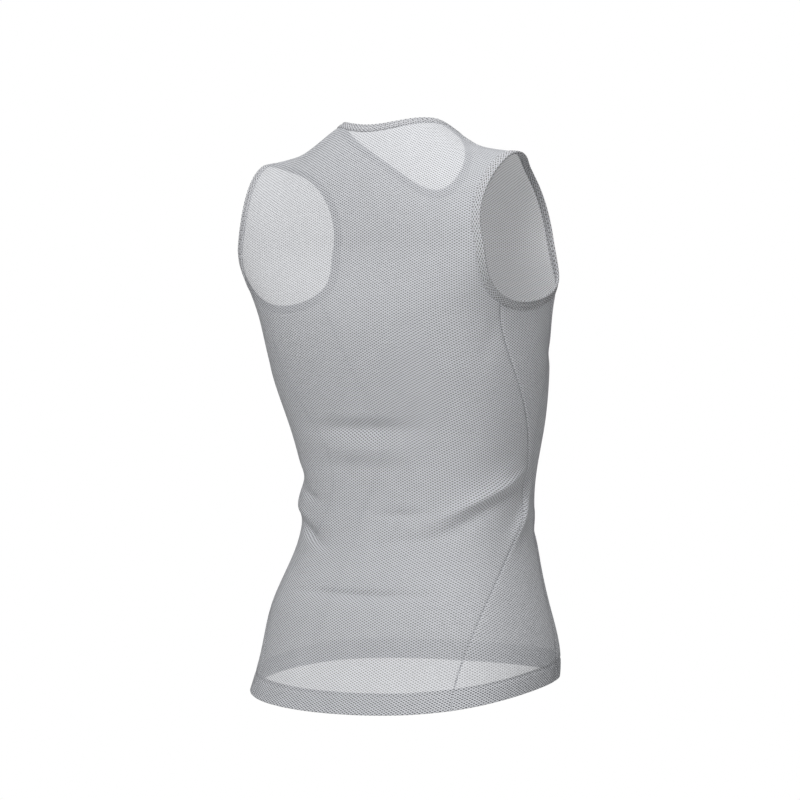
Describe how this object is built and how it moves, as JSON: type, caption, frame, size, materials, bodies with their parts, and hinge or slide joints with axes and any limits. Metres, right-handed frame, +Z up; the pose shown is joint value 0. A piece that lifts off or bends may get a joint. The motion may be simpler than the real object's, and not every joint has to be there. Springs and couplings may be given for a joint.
{
  "type": "sleeveless base layer",
  "caption": "Fitted sleeveless base layer of fine mesh knit with bound neck and armholes, waisted side panels and a turned-up hem longer at the back.",
  "frame": {"origin": "midway between the two high shoulder points, where the shoulder seams meet the neck binding and the garment is held when it is worn", "axes": "+Z up the body, -Y towards the front, +X towards the wearer's left"},
  "size_m": [0.3188, 0.2458, 0.5885],
  "materials": {
    "mesh_knit": "white polyester micro-mesh knit, matt, slightly see-through",
    "binding_knit": "folded binding of the same white knit, matt, closed"
  },
  "bodies": {
    "root": {"back_panel": "mesh_knit", "front_panel": "mesh_knit", "side_panel_left": "mesh_knit", "side_panel_right": "mesh_knit", "neck_binding": "binding_knit", "armhole_binding_left": "binding_knit", "armhole_binding_right": "binding_knit"}
  },
  "joints": []
}
